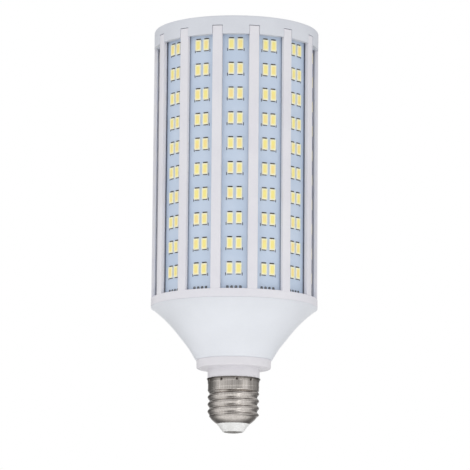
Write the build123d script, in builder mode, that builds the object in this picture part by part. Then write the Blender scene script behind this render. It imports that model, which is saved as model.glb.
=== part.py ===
from build123d import *
import math
import os

os.makedirs("parts", exist_ok=True)

# LED lamp with a screw cap, standing base down: millimetres, +Z up, origin at the tip of the centre contact

# Driving dimensions: what repeats round the lamp
facet_count = 14
led_columns = 2
led_rows = 10

# Driving dimensions: heights, stacked up from the tip
contact_thickness = 0.5
insulator_height = 4.3
shell_cone_height = 3.8
thread_height = 12.7
plain_band_height = 4.4
lip_height = 2.0
neck_height = 5.1
collar_height = 4.35
funnel_height = 26.85
cage_band_height = 4.4
window_height = 129.3
skirt_height = 9.9

# Driving dimensions: outer radii
lamp_radius = 42.5
funnel_foot_radius = 19.4
thread_crest_radius = 13.1
shell_end_radius = 8.5
contact_radius = 4.8

# Driving dimensions: steps between neighbouring radii
collar_inset = 0.45
neck_step = 0.1
lip_flare = 0.6
band_step = 0.05
thread_depth = 0.97
insulator_margin = 0.4

# Driving dimensions: walls and fits
plastic_wall = 1.8
shell_wall = 0.35
fit_clearance = 0.1
notch_side_clearance = 0.15
notch_top_clearance = 0.25
thread_pitch = 3.629
thread_crest_level = 9.1
thread_foot = 0.13
thread_ridge_share = 0.42

# Driving dimensions: cage ribs and hoops
rib_face_inset = 0.2
flange_width = 5.0
flange_thickness = 1.6
web_thickness = 1.6
inner_flange_width = 4.4
inner_flange_thickness = 1.5
floor_thickness = 2.0
floor_width = 12.5
top_hoop_height = 3.0
top_hoop_width = 4.6
top_hoop_drop = 6.8
notch_height = 4.5

# Driving dimensions: light strips
board_recess = 3.7
board_thickness = 1.6
board_top_clearance = 0.4
board_corner_radius = 0.6
led_width = 3.0
led_length = 5.7
led_thickness = 0.9
led_window_width = 2.3
led_window_length = 4.3
led_window_depth = 0.25
led_column_pitch = 4.5
first_row_margin = 10.4
last_row_margin = 4.4

# Driving dimensions: end cap and its clips
cap_plate_thickness = 2.2
cap_edge_radius = 1.6
lip_thickness = 1.6
clip_count = 4
clip_width = 8.0
clip_thickness = 1.5
barb_reach = 0.95
barb_height = 1.2
clip_root_depth = 12.0

# Driving dimensions: base adapter
collar_edge_radius = 0.8
funnel_seat_width = 3.55
spigot_wall = 1.85
funnel_floor_thickness = 2.0
lug_reach = 1.3
lug_height = 1.5
lug_width = 6.0
plug_clearance = 0.15
plug_foot_gap = 2.4

# Driving dimensions: screw cap details
dimple_count = 10
dimple_turn = -82.2
dimple_sphere_radius = 0.75
dimple_depth = 0.25
dimple_drop = 1.35
insulator_groove_depth = 0.9
insulator_collar_height = 1.6
contact_stem_radius = 1.5
contact_stem_height = 7.2

# Driving dimensions: connecting ring board
ring_board_width = 5.4
ring_board_thickness = 1.2

# Driving dimensions: driver board and its rails
driver_width = 46.0
driver_height = 66.0
driver_thickness = 1.6
driver_side_clearance = 1.25
rail_width = 4.8
rail_grip = 1.8
rail_floor = 2.0
rail_top_drop = 2.0

# Driving dimensions: parts on the driver board, with places across and up from the middle of its foot
smoothing_place = (6.0, 35.0)
smoothing_radius = 8.0
smoothing_length = 25.0
output_place = (-8.5, 50.0)
output_radius = 5.0
output_length = 18.0
can_edge_radius = 0.8
can_groove_depth = 0.5
can_groove_height = 1.2
can_groove_rise = 2.4
inductor_place = (-9.0, 14.0)
inductor_flange_radius = 7.0
inductor_waist_radius = 5.6
inductor_flange_height = 2.0
inductor_length = 13.0
film_place = (-9.5, 31.0)
film_size = (13.0, 11.0, 6.5)
film_edge_radius = 0.8
bridge_place = (9.0, 18.0)
bridge_size = (6.5, 4.7, 2.4)
chip_place = (10.0, 51.0)
chip_size = (4.9, 3.9, 1.5)
transistor_place = (10.0, 59.0)
transistor_size = (6.6, 6.1, 2.3)
fuse_place = (9.0, 8.5)
fuse_radius = 1.7
fuse_length = 8.0
fuse_pin_pitch = 12.0
pin_pitch_share = 0.5
pin_radius = 0.35
pin_tail = 1.6

# Driving dimensions: wires, whose inner points are chosen by hand
wire_radius = 0.8
run_share = 0.45
wire_end_clearance = 0.1
live_end = (-14.0, 4.0)
neutral_end = (16.0, 4.5)
tap_share = 0.65
tap_run = 3.4
lead_end = (19.0, 29.0)
lead_facet = 9
lead_landing_inset = 3.1

# Levels worked out from the stack
insulator_z = contact_thickness
shell_z = insulator_z + insulator_height
thread_z = shell_z + shell_cone_height
band_z = thread_z + thread_height
lip_z = band_z + plain_band_height
neck_z = lip_z + lip_height
collar_z = neck_z + neck_height
funnel_z = collar_z + collar_height
cage_z = funnel_z + funnel_height
window_z = cage_z + cage_band_height
skirt_z = window_z + window_height
lamp_top = skirt_z + skirt_height
plate_z = lamp_top - cap_plate_thickness

# Radii worked out from their neighbours
collar_radius = funnel_foot_radius - collar_inset
neck_radius = thread_crest_radius + neck_step
thread_root_radius = thread_crest_radius - thread_depth
shell_band_radius = thread_crest_radius + band_step
shell_lip_radius = shell_band_radius + lip_flare
insulator_tip_radius = contact_radius + insulator_margin
spigot_radius = funnel_foot_radius - funnel_seat_width
floor_bore_radius = lamp_radius - floor_width

# Radii and angles worked out from the facets
facet_turn = 360 / facet_count
half_turn = math.radians(facet_turn / 2)
board_face = lamp_radius - board_recess
board_back = board_face - board_thickness
rib_face = lamp_radius - rib_face_inset
flange_back = rib_face - flange_thickness
inner_flange_reach = board_back - inner_flange_width / 2 * math.sin(half_turn)
inner_flange_face = inner_flange_reach / math.cos(half_turn) - fit_clearance
slot_half_width = board_back * math.tan(half_turn) - web_thickness / 2 / math.cos(half_turn)
board_width = 2 * (slot_half_width - fit_clearance)
top_hoop_bore_radius = board_back - top_hoop_width
skirt_bore = lamp_radius - plastic_wall


def facet_plane(index, distance, height):
    """Plane on facet number index, facing outward, with its own x along the facet and y up."""
    angle = math.radians(facet_turn * (index + 0.5))
    outward = Vector(math.cos(angle), math.sin(angle), 0)
    along = Vector(-math.sin(angle), math.cos(angle), 0)
    return Plane(origin=outward * distance + Vector(0, 0, height), x_dir=along, z_dir=outward)


def clip_face(bore_radius):
    """Distance of a flat clip's outer face from the axis, just inside a round bore."""
    return math.sqrt(bore_radius**2 - (clip_width / 2) ** 2) - fit_clearance


def save(builder, name):
    """Label a finished piece and write its file."""
    builder.part.label = name
    export_step(builder.part, f"parts/{name}.step")


# Centre contact: a brass disc with a rivet stem up through the insulator
with BuildPart() as centre_contact:
    with BuildSketch(Plane.XY):
        Circle(contact_radius)
    extrude(amount=contact_thickness)
    fillet(centre_contact.edges().group_by(Axis.Z)[0], contact_thickness * 0.6)
    with BuildSketch(Plane.XY.offset(contact_thickness)):
        Circle(contact_stem_radius)
    extrude(amount=contact_stem_height - contact_thickness)
save(centre_contact, "centre_contact")

# Insulator: a white cone whose groove holds the end of the screw shell
groove_radius = shell_end_radius - insulator_groove_depth
groove_height = shell_wall + 2 * fit_clearance
insulator_collar_z = shell_z + groove_height
shell_cone_slope = (thread_root_radius - shell_end_radius) / shell_cone_height
insulator_collar_radius = shell_end_radius + shell_cone_slope * groove_height - shell_wall * 2
with BuildPart() as base_insulator:
    with BuildSketch(Plane.XZ):
        with BuildLine():
            Polyline(
                (contact_stem_radius + fit_clearance, insulator_z),
                (insulator_tip_radius, insulator_z),
                (shell_end_radius, shell_z),
                (groove_radius, shell_z),
                (groove_radius, insulator_collar_z),
                (insulator_collar_radius, insulator_collar_z),
                (insulator_collar_radius, insulator_collar_z + insulator_collar_height),
                (contact_stem_radius + fit_clearance, insulator_collar_z + insulator_collar_height),
                close=True,
            )
        make_face()
    revolve(axis=Axis.Z)
save(base_insulator, "base_insulator")

# Screw shell: plain band and flared lip above, rolled thread in the middle, cone below
ridge_half_width = thread_ridge_share * thread_pitch
ridge_start = thread_crest_level - thread_pitch
ridge_height = band_z + thread_pitch / 2 - ridge_start
dimple_z = neck_z - dimple_drop
lip_slope = (shell_lip_radius - shell_band_radius) / (lip_height - shell_wall)
dimple_surface_radius = shell_band_radius + lip_slope * (dimple_z - lip_z)
dimple_centre_radius = dimple_surface_radius + dimple_sphere_radius - dimple_depth
with BuildPart() as thread_ridge:
    with BuildLine() as ridge_path:
        Helix(thread_pitch, ridge_height, thread_root_radius, center=(0, 0, ridge_start))
    with BuildSketch(Plane.XZ.shift_origin((thread_root_radius, 0, ridge_start))):
        with BuildLine():
            ThreePointArc(
                (-thread_foot, -ridge_half_width),
                (thread_depth, 0),
                (-thread_foot, ridge_half_width),
            )
            Line((-thread_foot, ridge_half_width), (-thread_foot, -ridge_half_width))
        make_face()
    sweep(path=ridge_path.line, is_frenet=True)
    with BuildSketch(Plane.XZ):
        with BuildLine():
            Polyline(
                (0, thread_z - thread_foot),
                (thread_root_radius, thread_z - thread_foot),
                (shell_lip_radius, thread_z + thread_depth / 2),
                (shell_lip_radius, lip_z),
                (0, lip_z),
                close=True,
            )
        make_face()
    revolve(axis=Axis.Z, mode=Mode.INTERSECT)

with BuildPart() as screw_shell:
    with BuildSketch(Plane.XZ):
        with BuildLine():
            Polyline(
                (0, shell_z),
                (shell_end_radius, shell_z),
                (thread_root_radius, thread_z),
                (thread_root_radius, band_z - thread_depth),
                (shell_band_radius, band_z),
                (shell_band_radius, lip_z),
                (shell_lip_radius, neck_z - shell_wall),
                (shell_lip_radius, neck_z),
                (0, neck_z),
                close=True,
            )
        make_face()
    revolve(axis=Axis.Z)
    add(thread_ridge.part)
    with BuildSketch(Plane.XZ):
        with BuildLine():
            Polyline(
                (0, shell_z - 1),
                (groove_radius + fit_clearance, shell_z - 1),
                (groove_radius + fit_clearance, shell_z + shell_wall),
                (shell_end_radius - fit_clearance, shell_z + shell_wall),
                (thread_root_radius - shell_wall, thread_z),
                (thread_root_radius - shell_wall, band_z),
                (shell_band_radius - shell_wall, band_z + thread_depth),
                (shell_band_radius - shell_wall, lip_z),
                (shell_lip_radius - shell_wall, neck_z),
                (0, neck_z),
                close=True,
            )
        make_face()
    revolve(axis=Axis.Z, mode=Mode.SUBTRACT)
    with Locations((0, 0, dimple_z)):
        with PolarLocations(dimple_centre_radius, dimple_count, dimple_turn):
            Sphere(dimple_sphere_radius, mode=Mode.SUBTRACT)
save(screw_shell, "screw_shell")

# Base adapter: collar and neck outside, hollow plug in the screw shell, spigot with lugs up in the funnel
plug_band_radius = shell_band_radius - shell_wall - plug_clearance
plug_root_radius = thread_root_radius - shell_wall - plug_clearance
adapter_bore_radius = plug_root_radius - plastic_wall
plug_foot_z = thread_z + plug_foot_gap
spigot_top_z = funnel_z + funnel_floor_thickness + fit_clearance + lug_height
with BuildPart() as base_adapter:
    with BuildSketch(Plane.XY.offset(plug_foot_z)):
        Circle(plug_root_radius)
    extrude(amount=lip_z - plug_foot_z)
    with BuildSketch(Plane.XY.offset(band_z + thread_depth + plug_clearance)):
        Circle(plug_band_radius)
    extrude(amount=neck_z - band_z - thread_depth - plug_clearance)
    with BuildSketch(Plane.XY.offset(neck_z)):
        Circle(neck_radius)
    extrude(amount=neck_height)
    with BuildSketch(Plane.XY.offset(collar_z)):
        Circle(collar_radius)
    extrude(amount=collar_height)
    foot_circles = base_adapter.edges().filter_by(GeomType.CIRCLE)
    collar_foot = foot_circles.filter_by_position(Axis.Z, collar_z, collar_z).sort_by(SortBy.RADIUS)[-1]
    fillet(collar_foot, collar_edge_radius)
    with BuildSketch(Plane.XY.offset(funnel_z)):
        Circle(spigot_radius)
    extrude(amount=spigot_top_z - funnel_z)
    with BuildSketch(Plane.XY.offset(funnel_z + funnel_floor_thickness + fit_clearance)):
        with PolarLocations(spigot_radius, clip_count, start_angle=facet_turn):
            Rectangle(2 * lug_reach, lug_width)
    extrude(amount=lug_height)
    with BuildSketch(Plane.XY.offset(plug_foot_z)):
        Circle(adapter_bore_radius)
    extrude(amount=collar_z - plug_foot_z, mode=Mode.SUBTRACT)
    with BuildSketch(Plane.XY.offset(collar_z + plastic_wall)):
        Circle(spigot_radius - spigot_wall)
    extrude(amount=spigot_top_z - collar_z - plastic_wall, mode=Mode.SUBTRACT)
    with BuildSketch(Plane.XY.offset(collar_z)):
        Circle(adapter_bore_radius)
    extrude(amount=plastic_wall, mode=Mode.SUBTRACT)
save(base_adapter, "base_adapter")

# Funnel: a flared housing between the collar and the cage, with rails for the driver board and four clips
flare_steps = ((0.0, 0.0), (0.155, 0.222), (0.515, 0.62), (0.727, 0.82), (1.0, 1.0))
flare_run = lamp_radius - funnel_foot_radius
flare_angle = math.atan2(flare_run, funnel_height)
flare_shift = (-plastic_wall * math.cos(flare_angle), plastic_wall * math.sin(flare_angle))
flare_points = [
    (funnel_foot_radius + flare_run * out, funnel_z + funnel_height * up) for out, up in flare_steps
]
flare_inner = [(r + flare_shift[0], z + flare_shift[1]) for r, z in flare_points]
funnel_floor_z = funnel_z + funnel_floor_thickness


def level_at(radius):
    """Lowest level at which the funnel's inner wall is at least that far from the axis."""
    for (r_low, z_low), (r_high, z_high) in zip(flare_inner, flare_inner[1:]):
        if radius <= r_high:
            return z_low + (radius - r_low) * (z_high - z_low) / (r_high - r_low)
    return cage_z


rail_slot_half = driver_thickness / 2 + fit_clearance
driver_foot_z = level_at(driver_width / 2 + driver_side_clearance)
clip_arm_radius = clip_face(floor_bore_radius) - clip_thickness / 2
clip_angle = 180 / clip_count

# The space inside the funnel, less its rails and clip posts
with BuildPart() as funnel_hollow:
    with BuildSketch(Plane.XZ):
        with BuildLine():
            Spline(*flare_inner)
            Line(flare_inner[-1], (0, flare_inner[-1][1]))
            Line((0, flare_inner[-1][1]), (0, flare_inner[0][1]))
            Line((0, flare_inner[0][1]), flare_inner[0])
        make_face()
    revolve(axis=Axis.Z)
    split(bisect_by=Plane.XY.offset(funnel_floor_z), keep=Keep.TOP)
    with Locations((0, 0, driver_foot_z - rail_floor)):
        with PolarLocations(driver_width / 2 - rail_grip + lamp_radius / 2, 2):
            Box(
                lamp_radius,
                rail_width,
                cage_z - rail_top_drop - driver_foot_z + rail_floor,
                align=(Align.CENTER, Align.CENTER, Align.MIN),
                mode=Mode.SUBTRACT,
            )
    with Locations((0, 0, cage_z - clip_root_depth)):
        with PolarLocations(clip_arm_radius - clip_thickness / 2 + lamp_radius / 2, clip_count, clip_angle):
            Box(
                lamp_radius,
                clip_width,
                clip_root_depth + plastic_wall,
                align=(Align.CENTER, Align.CENTER, Align.MIN),
                mode=Mode.SUBTRACT,
            )

with BuildPart() as funnel:
    with BuildSketch(Plane.XZ):
        with BuildLine():
            Spline(*flare_points)
            Line(flare_points[-1], (0, cage_z))
            Line((0, cage_z), (0, funnel_z))
            Line((0, funnel_z), flare_points[0])
        make_face()
    revolve(axis=Axis.Z)
    add(funnel_hollow.part, mode=Mode.SUBTRACT)
    with BuildSketch(Plane.XY.offset(funnel_z)):
        Circle(spigot_radius + fit_clearance)
    extrude(amount=funnel_floor_thickness, mode=Mode.SUBTRACT)
    with BuildSketch(Plane.XY.offset(driver_foot_z)):
        Rectangle(driver_width + 2 * fit_clearance, 2 * rail_slot_half)
    extrude(amount=funnel_height, mode=Mode.SUBTRACT)
    with BuildSketch(Plane.XY.offset(cage_z)):
        with PolarLocations(clip_arm_radius, clip_count, clip_angle):
            Rectangle(clip_thickness, clip_width)
    extrude(amount=floor_thickness + fit_clearance + barb_height)
    with BuildSketch(Plane.XY.offset(cage_z + floor_thickness + fit_clearance)):
        with PolarLocations(clip_arm_radius + clip_thickness / 2 + barb_reach / 2, clip_count, clip_angle):
            Rectangle(barb_reach, clip_width)
    extrude(amount=barb_height)
save(funnel, "funnel")

# Cage: one moulding of bottom band, fourteen ribs and a top hoop behind the light strips
rib_top_z = plate_z - fit_clearance
flange_top_z = skirt_z + notch_height - notch_top_clearance
top_hoop_z = plate_z - top_hoop_drop
web_outer_top = skirt_bore - plastic_wall / 2
inner_flange_centre = inner_flange_face - inner_flange_thickness / 2
with BuildPart() as cage:
    with BuildSketch(Plane.XY.offset(cage_z)):
        Circle(lamp_radius)
        Circle(floor_bore_radius, mode=Mode.SUBTRACT)
    extrude(amount=floor_thickness)
    with BuildSketch(Plane.XY.offset(cage_z + floor_thickness)):
        Circle(lamp_radius)
        RegularPolygon(board_face + fit_clearance, facet_count, major_radius=False, mode=Mode.SUBTRACT)
    extrude(amount=cage_band_height - floor_thickness)
    with BuildSketch(Plane.XY.offset(cage_z + floor_thickness)):
        with PolarLocations((rib_face + flange_back) / 2, facet_count):
            Rectangle(flange_thickness, flange_width)
        with PolarLocations((flange_back + inner_flange_face) / 2, facet_count):
            Rectangle(flange_back - inner_flange_face, web_thickness)
        with PolarLocations(inner_flange_centre, facet_count):
            Rectangle(inner_flange_thickness, inner_flange_width)
    extrude(amount=flange_top_z - cage_z - floor_thickness)
    with BuildSketch(Plane.XY.offset(flange_top_z)):
        with PolarLocations((web_outer_top + inner_flange_face) / 2, facet_count):
            Rectangle(web_outer_top - inner_flange_face, web_thickness)
        with PolarLocations(inner_flange_centre, facet_count):
            Rectangle(inner_flange_thickness, inner_flange_width)
    extrude(amount=rib_top_z - flange_top_z)
    with BuildSketch(Plane.XY.offset(top_hoop_z)):
        RegularPolygon(board_back - fit_clearance, facet_count, major_radius=False)
        Circle(top_hoop_bore_radius, mode=Mode.SUBTRACT)
    extrude(amount=top_hoop_height)
save(cage, "cage")

# Top cap: skirt with a notch over each rib, a lip in front of the strips, an end plate and four clips
cap_clip_radius = clip_face(top_hoop_bore_radius) - clip_thickness / 2
cap_clip_foot_z = top_hoop_z - fit_clearance - barb_height
with BuildPart() as top_cap:
    with BuildSketch(Plane.XY.offset(skirt_z)):
        Circle(lamp_radius)
    extrude(amount=skirt_height)
    fillet(top_cap.edges().group_by(Axis.Z)[-1], cap_edge_radius)
    with BuildSketch(Plane.XY.offset(skirt_z)):
        RegularPolygon(board_face + fit_clearance, facet_count, major_radius=False)
    extrude(amount=lip_thickness, mode=Mode.SUBTRACT)
    with BuildSketch(Plane.XY.offset(skirt_z + lip_thickness)):
        Circle(skirt_bore)
    extrude(amount=plate_z - skirt_z - lip_thickness, mode=Mode.SUBTRACT)
    with BuildSketch(Plane.XY.offset(skirt_z)):
        with PolarLocations(lamp_radius, facet_count):
            Rectangle(2 * (lamp_radius - board_face), flange_width + 2 * notch_side_clearance)
    extrude(amount=notch_height, mode=Mode.SUBTRACT)
    with BuildSketch(Plane.XY.offset(cap_clip_foot_z)):
        with PolarLocations(cap_clip_radius, clip_count, clip_angle):
            Rectangle(clip_thickness, clip_width)
    extrude(amount=plate_z - cap_clip_foot_z)
    with BuildSketch(Plane.XY.offset(cap_clip_foot_z)):
        with PolarLocations(cap_clip_radius + clip_thickness / 2 + barb_reach / 2, clip_count, clip_angle):
            Rectangle(barb_reach, clip_width)
    extrude(amount=barb_height)
save(top_cap, "top_cap")

# Light strips: an aluminium board in each pair of rib channels, and its twenty lamps
board_foot_z = cage_z + floor_thickness
board_length = plate_z - board_top_clearance - board_foot_z
row_pitch = (window_height - first_row_margin - last_row_margin) / (led_rows - 1)
led_middle_z = window_z + first_row_margin + row_pitch * (led_rows - 1) / 2
for index in range(facet_count):
    with BuildPart() as led_board:
        with BuildSketch(facet_plane(index, board_back, board_foot_z + board_length / 2)):
            RectangleRounded(board_width, board_length, board_corner_radius)
        extrude(amount=board_thickness)
    save(led_board, f"led_board_{index + 1:02d}")

    with BuildPart() as leds:
        with BuildSketch(facet_plane(index, board_face, led_middle_z)):
            with GridLocations(led_column_pitch, row_pitch, led_columns, led_rows):
                Rectangle(led_width, led_length)
        extrude(amount=led_thickness)
        with BuildSketch(facet_plane(index, board_face + led_thickness, led_middle_z)):
            with GridLocations(led_column_pitch, row_pitch, led_columns, led_rows):
                Rectangle(led_window_width, led_window_length)
        extrude(amount=-led_window_depth, mode=Mode.SUBTRACT)
    save(leds, f"leds_{index + 1:02d}")

# Ring board: joins the feet of the strips, notched round the ribs
ring_outer = board_back - fit_clearance
rib_notch_in = inner_flange_face - inner_flange_thickness - fit_clearance
rib_notch_out = ring_outer / math.cos(half_turn) + fit_clearance
rib_notch_width = inner_flange_width + 2 * fit_clearance
with BuildPart() as ring_board:
    with BuildSketch(Plane.XY.offset(board_foot_z)):
        RegularPolygon(ring_outer, facet_count, major_radius=False)
        Circle(ring_outer - ring_board_width, mode=Mode.SUBTRACT)
        with PolarLocations((rib_notch_in + rib_notch_out) / 2, facet_count):
            Rectangle(rib_notch_out - rib_notch_in, rib_notch_width, mode=Mode.SUBTRACT)
    extrude(amount=ring_board_thickness)
save(ring_board, "ring_board")

# Driver board: stands on edge in the funnel's rails, drilled for the pins of what it carries
driver_front = Plane(origin=(0, -driver_thickness / 2, driver_foot_z), x_dir=(1, 0, 0), z_dir=(0, -1, 0))
pin_pitches = {
    smoothing_place: smoothing_radius,
    output_place: output_radius,
    inductor_place: inductor_flange_radius,
    film_place: film_size[0] - film_size[2] / 2,
    fuse_place: fuse_pin_pitch,
}


def pin_spots(place):
    """The two holes of a leaded part, on either side of its middle."""
    half = pin_pitches[place] / 2
    return [(place[0] - half, place[1]), (place[0] + half, place[1])]


with BuildPart() as driver_board:
    with BuildSketch(driver_front):
        with Locations((0, driver_height / 2)):
            Rectangle(driver_width, driver_height)
    extrude(amount=-driver_thickness)
    with BuildSketch(driver_front):
        for part_place in pin_pitches:
            with Locations(*pin_spots(part_place)):
                Circle(pin_radius + fit_clearance)
    extrude(amount=-driver_thickness, mode=Mode.SUBTRACT)
save(driver_board, "driver_board")


def make_can(place, radius, length, name):
    """An electrolytic capacitor: a can with a rolled groove near its foot and two pins."""
    centre = driver_front.from_local_coords((place[0], place[1], 0))
    axis_plane = Plane(centre, x_dir=(1, 0, 0), z_dir=(0, 0, 1))
    with BuildPart() as can:
        with BuildSketch(driver_front):
            with Locations(place):
                Circle(radius)
        extrude(amount=length)
        fillet(can.edges().sort_by(Axis.Y)[0], can_edge_radius)
        with BuildSketch(axis_plane):
            with Locations((radius, -can_groove_rise)):
                Rectangle(2 * can_groove_depth, can_groove_height)
        revolve(axis=Axis(axis_plane.origin, (0, 1, 0)), mode=Mode.SUBTRACT)
        with BuildSketch(driver_front):
            with Locations(*pin_spots(place)):
                Circle(pin_radius)
        extrude(amount=-driver_thickness - pin_tail)
    save(can, name)


make_can(smoothing_place, smoothing_radius, smoothing_length, "smoothing_capacitor")
make_can(output_place, output_radius, output_length, "output_capacitor")

# Power inductor: a bobbin with a wound waist between two flanges
with BuildPart() as power_inductor:
    with BuildSketch(driver_front):
        with Locations(inductor_place):
            Circle(inductor_flange_radius)
    extrude(amount=inductor_flange_height)
    with BuildSketch(driver_front.offset(inductor_flange_height)):
        with Locations(inductor_place):
            Circle(inductor_waist_radius)
    extrude(amount=inductor_length - 2 * inductor_flange_height)
    with BuildSketch(driver_front.offset(inductor_length - inductor_flange_height)):
        with Locations(inductor_place):
            Circle(inductor_flange_radius)
    extrude(amount=inductor_flange_height)
    with BuildSketch(driver_front):
        with Locations(*pin_spots(inductor_place)):
            Circle(pin_radius)
    extrude(amount=-driver_thickness - pin_tail)
save(power_inductor, "power_inductor")

# Film capacitor: a dipped block on two pins
with BuildPart() as film_capacitor:
    with BuildSketch(driver_front):
        with Locations(film_place):
            RectangleRounded(film_size[0], film_size[2], film_edge_radius)
    extrude(amount=film_size[1])
    fillet(film_capacitor.faces().sort_by(Axis.Y)[0].edges(), film_edge_radius)
    with BuildSketch(driver_front):
        with Locations(*pin_spots(film_place)):
            Circle(pin_radius)
    extrude(amount=-driver_thickness - pin_tail)
save(film_capacitor, "film_capacitor")


def make_block(place, size, name):
    """A surface-mounted part: a plain moulded block on the board's face."""
    with BuildPart() as block:
        with BuildSketch(driver_front):
            with Locations(place):
                Rectangle(size[0], size[1])
        extrude(amount=size[2])
    save(block, name)


make_block(bridge_place, bridge_size, "bridge_rectifier")
make_block(chip_place, chip_size, "driver_chip")
make_block(transistor_place, transistor_size, "switching_transistor")

# Fuse resistor: a lying cylinder whose two leads bend down through the board
fuse_axis = driver_front.offset(fuse_radius)
fuse_middle = fuse_axis.from_local_coords((fuse_place[0], fuse_place[1], 0))
with BuildPart() as fuse_resistor:
    with BuildSketch(Plane(fuse_middle, x_dir=(0, 1, 0), z_dir=(1, 0, 0))):
        Circle(fuse_radius)
    extrude(amount=fuse_length / 2, both=True)
    with BuildSketch(Plane(fuse_middle, x_dir=(0, 1, 0), z_dir=(1, 0, 0))):
        Circle(pin_radius)
    extrude(amount=fuse_pin_pitch / 2 + pin_radius, both=True)
    with BuildSketch(fuse_axis):
        with Locations(*pin_spots(fuse_place)):
            Circle(pin_radius)
    extrude(amount=-fuse_radius - driver_thickness - pin_tail)
save(fuse_resistor, "fuse_resistor")

# Wires: straight runs joined by the largest tangent arcs that the runs allow
front_y = -driver_thickness / 2
cone_angle = math.atan2(shell_cone_height, thread_root_radius - shell_end_radius)
tap_z = shell_z + tap_share * shell_cone_height
tap_wall_radius = shell_end_radius + shell_cone_slope * tap_share * shell_cone_height
tap_radius = tap_wall_radius - shell_wall / math.sin(cone_angle) - 2 * wire_end_clearance
stem_top = contact_stem_height + wire_end_clearance
ring_top_z = board_foot_z + ring_board_thickness
landing_radius = ring_outer - lead_landing_inset
landing_angle = math.radians(facet_turn * (lead_facet - 0.5))
landing = (landing_radius * math.cos(landing_angle), landing_radius * math.sin(landing_angle))


def arc_radii(points):
    """The arc at each inner point of a route: as large as the shorter of its two runs allows."""
    radii = []
    for before, here, after in zip(points, points[1:], points[2:]):
        run_in = Vector(*here) - Vector(*before)
        run_out = Vector(*after) - Vector(*here)
        half = math.radians(run_in.get_angle(run_out) / 2)
        radii.append(run_share * min(run_in.length, run_out.length) / math.tan(half))
    return radii


def make_wire(points, name):
    """One insulated wire along its route."""
    radii = arc_radii(points)
    print(name, "arc radii", [round(radius, 1) for radius in radii])
    with BuildPart() as wire:
        with BuildLine() as route:
            FilletPolyline(*points, radius=radii)
        with BuildSketch(Plane(origin=points[0], z_dir=Vector(*points[1]) - Vector(*points[0]))):
            Circle(wire_radius)
        sweep(path=route.wire())
    save(wire, name)


def lead_points(side):
    """Route from the driver board out and down on to the ring board, on one side."""
    across = side * lead_end[0]
    start_z = driver_foot_z + lead_end[1]
    landing_x = side * abs(landing[0])
    return [
        (across, front_y, start_z),
        (across, front_y - 6, start_z),
        (side * (lead_end[0] + 3), front_y - 13, start_z + 1.5),
        (landing_x, landing[1], ring_top_z + 8),
        (landing_x, landing[1], ring_top_z),
    ]


make_wire(
    [
        (0, 0, stem_top),
        (0, 0, neck_z - 12),
        (-3, -5, neck_z + 2),
        (-8, -9, funnel_z + 3),
        (live_end[0], -7, driver_foot_z + live_end[1]),
        (live_end[0], front_y, driver_foot_z + live_end[1]),
    ],
    "live_wire",
)
make_wire(
    [
        (tap_radius, 0, tap_z),
        (tap_radius - tap_run * math.sin(cone_angle), 0, tap_z + tap_run * math.cos(cone_angle)),
        (6, -1, neck_z - 8),
        (5.5, -3.5, neck_z + 3),
        (11, -7, funnel_z + 7),
        (neutral_end[0], -7, driver_foot_z + neutral_end[1]),
        (neutral_end[0], front_y, driver_foot_z + neutral_end[1]),
    ],
    "neutral_wire",
)
make_wire(lead_points(-1), "positive_lead")
make_wire(lead_points(1), "negative_lead")
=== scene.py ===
import math
import bmesh
import bpy
from mathutils import Matrix, Vector


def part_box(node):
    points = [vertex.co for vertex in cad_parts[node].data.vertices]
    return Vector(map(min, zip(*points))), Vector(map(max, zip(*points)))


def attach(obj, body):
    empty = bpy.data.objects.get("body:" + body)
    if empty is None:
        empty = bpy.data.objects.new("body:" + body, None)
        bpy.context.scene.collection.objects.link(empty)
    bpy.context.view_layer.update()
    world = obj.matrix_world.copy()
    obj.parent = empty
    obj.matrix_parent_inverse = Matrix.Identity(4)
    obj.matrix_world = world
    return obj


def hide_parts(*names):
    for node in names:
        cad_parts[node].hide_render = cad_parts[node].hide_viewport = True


# LED lamp with a screw cap, held base down in soft studio light and seen from a little below
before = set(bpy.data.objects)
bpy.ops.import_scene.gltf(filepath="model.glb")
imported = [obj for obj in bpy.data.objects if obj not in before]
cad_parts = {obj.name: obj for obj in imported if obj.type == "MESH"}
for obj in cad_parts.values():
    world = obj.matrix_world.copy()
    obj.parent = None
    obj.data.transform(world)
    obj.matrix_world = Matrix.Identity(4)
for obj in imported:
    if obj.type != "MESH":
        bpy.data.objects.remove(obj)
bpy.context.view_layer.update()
mm = 0.001

# Levels read from the frame, in millimetres
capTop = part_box("top_cap")[1].z / mm
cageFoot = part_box("cage")[0].z / mm
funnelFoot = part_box("funnel")[0].z / mm
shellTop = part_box("screw_shell")[1].z / mm
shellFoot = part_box("screw_shell")[0].z / mm
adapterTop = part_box("base_adapter")[1].z / mm

# The lamp's own plan, in millimetres
lampRadius = 42.5
facets = 14
facetTurn = 2 * math.pi / facets
boardFace = 38.8  # the strips' outer face, from the axis
boardSpace = 0.1  # left in front of the strips by the cap's ledge and the band
print("frame read: lamp", round(capTop, 1), "mm tall")


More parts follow.
